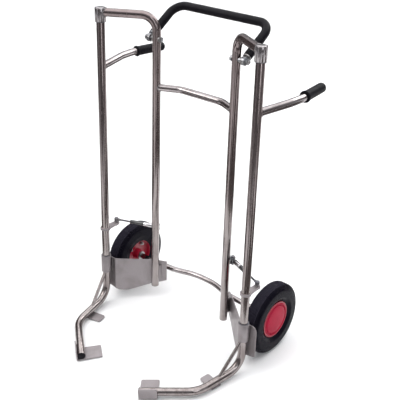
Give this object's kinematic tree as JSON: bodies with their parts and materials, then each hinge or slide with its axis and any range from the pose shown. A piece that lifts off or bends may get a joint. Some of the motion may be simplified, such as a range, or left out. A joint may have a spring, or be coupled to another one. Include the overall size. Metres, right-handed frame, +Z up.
{
  "type": "hand truck",
  "caption": "Tubular tyre hand truck with two wheels, a folding push handle and sprung gripper arms that lever handles open around a stack of tyres.",
  "frame": {"origin": "on the floor under the middle of the truck's box", "axes": "+X to the user's right as the user stands behind the push handle, +Y from the toe plates back to the user, +Z up"},
  "size_m": [0.7546, 0.731, 1.1194],
  "materials": {
    "chrome_tube": "bright plate, lightly streaked",
    "sheet_steel": "satin plated sheet",
    "zinc_steel": "bright zinc plate",
    "bearing_bronze": "oiled bearing bronze",
    "bearing_steel": "ground steel",
    "polished_rod": "polished hard chrome",
    "black_cylinder": "gloss black paint",
    "black_handle": "black sleeve over the tube, fine grain",
    "grip_rubber": "moulded, fine texture",
    "tyre_rubber": "matt with a light dust",
    "red_rim": "gloss red paint",
    "red_cap": "satin moulded plastic"
  },
  "bodies": {
    "frame": {"left_rear_tube": "chrome_tube", "right_rear_tube": "chrome_tube", "top_collars": "chrome_tube", "collar_caps": "chrome_tube", "upper_bushes": "bearing_bronze", "lower_sleeves": "zinc_steel", "lower_bushes": "bearing_bronze", "left_side_plate": "sheet_steel", "right_side_plate": "sheet_steel", "tube_lugs": "zinc_steel", "upper_cross_tube": "chrome_tube", "axle_bar": "chrome_tube", "rear_tube_plugs": "zinc_steel", "spring_brackets": "zinc_steel", "spring_bracket_bolts": "zinc_steel", "handle_bolts": "zinc_steel", "axle_retainers": "zinc_steel"},
    "left_gripper": {"left_pivot_tube": "chrome_tube", "left_arm_brace": "chrome_tube", "left_inner_toe_plate": "sheet_steel", "left_tip_toe_plate": "sheet_steel", "left_arm_end_cap": "grip_rubber", "left_top_retainer": "zinc_steel", "left_lever_tube": "chrome_tube", "left_grip": "grip_rubber", "left_spring_lever": "zinc_steel", "left_ball_stud": "zinc_steel"},
    "left_spring_cylinder": {"left_gas_cylinder": "black_cylinder", "left_cylinder_eye": "zinc_steel"},
    "left_spring_rod": {"left_gas_rod": "polished_rod", "left_gas_piston": "bearing_bronze", "left_rod_socket": "zinc_steel"},
    "right_gripper": {"right_pivot_tube": "chrome_tube", "right_arm_brace": "chrome_tube", "right_inner_toe_plate": "sheet_steel", "right_tip_toe_plate": "sheet_steel", "right_arm_end_cap": "grip_rubber", "right_top_retainer": "zinc_steel", "right_lever_tube": "chrome_tube", "right_grip": "grip_rubber", "right_spring_lever": "zinc_steel", "right_ball_stud": "zinc_steel"},
    "right_spring_cylinder": {"right_gas_cylinder": "black_cylinder", "right_cylinder_eye": "zinc_steel"},
    "right_spring_rod": {"right_gas_rod": "polished_rod", "right_gas_piston": "bearing_bronze", "right_rod_socket": "zinc_steel"},
    "folding_handle": {"push_handle": "black_handle", "handle_fittings": "zinc_steel"},
    "left_wheel": {"left_tyre": "tyre_rubber", "left_rim": "red_rim", "left_hub_cap": "red_cap", "left_wheel_bearings": "bearing_steel", "left_rim_bolts": "zinc_steel"},
    "right_wheel": {"right_tyre": "tyre_rubber", "right_rim": "red_rim", "right_hub_cap": "red_cap", "right_wheel_bearings": "bearing_steel", "right_rim_bolts": "zinc_steel"}
  },
  "joints": [
    {"name": "left_arm_swing", "type": "hinge", "parent": "frame", "child": "left_gripper", "pos_m": [-0.327, 0.01219, 0.61362], "axis": [0, -0.1045, -0.9945], "range_deg": [0, 30], "stiffness_Nm_per_rad": 3, "springref_deg": -97.4},
    {"name": "left_spring_swing", "type": "hinge", "parent": "frame", "child": "left_spring_cylinder", "pos_m": [-0.177, 0.10211, 0.31156], "axis": [0, -0.1045, -0.9945], "range_deg": [-8, 1]},
    {"name": "left_spring_stroke", "type": "slide", "parent": "left_spring_cylinder", "child": "left_spring_rod", "axis": [-0.9238, -0.3808, 0.04], "range_m": [-0.027, 0.002]},
    {"name": "right_arm_swing", "type": "hinge", "parent": "frame", "child": "right_gripper", "pos_m": [0.327, 0.01219, 0.61362], "axis": [0, 0.1045, 0.9945], "range_deg": [0, 30], "stiffness_Nm_per_rad": 3, "springref_deg": -97.4},
    {"name": "right_spring_swing", "type": "hinge", "parent": "frame", "child": "right_spring_cylinder", "pos_m": [0.177, 0.10211, 0.31156], "axis": [0, 0.1045, 0.9945], "range_deg": [-8, 1]},
    {"name": "right_spring_stroke", "type": "slide", "parent": "right_spring_cylinder", "child": "right_spring_rod", "axis": [0.9238, -0.3808, 0.04], "range_m": [-0.027, 0.002]},
    {"name": "handle_fold", "type": "hinge", "parent": "frame", "child": "folding_handle", "pos_m": [0, 0.15292, 1.0151], "axis": [-1, 0, 0], "range_deg": [0, 103]},
    {"name": "left_wheel_spin", "type": "hinge", "parent": "frame", "child": "left_wheel", "pos_m": [-0.326, 0.117, 0.128], "axis": [1, 0, 0], "continuous": true},
    {"name": "right_wheel_spin", "type": "hinge", "parent": "frame", "child": "right_wheel", "pos_m": [0.326, 0.117, 0.128], "axis": [1, 0, 0], "continuous": true}
  ],
  "couplings": [
    {"joint": "left_spring_swing", "follows": "left_arm_swing", "ratio": -0.2156},
    {"joint": "left_spring_stroke", "follows": "left_arm_swing", "m_per_rad": -0.04647},
    {"joint": "right_spring_swing", "follows": "right_arm_swing", "ratio": -0.2156},
    {"joint": "right_spring_stroke", "follows": "right_arm_swing", "m_per_rad": -0.04647}
  ]
}
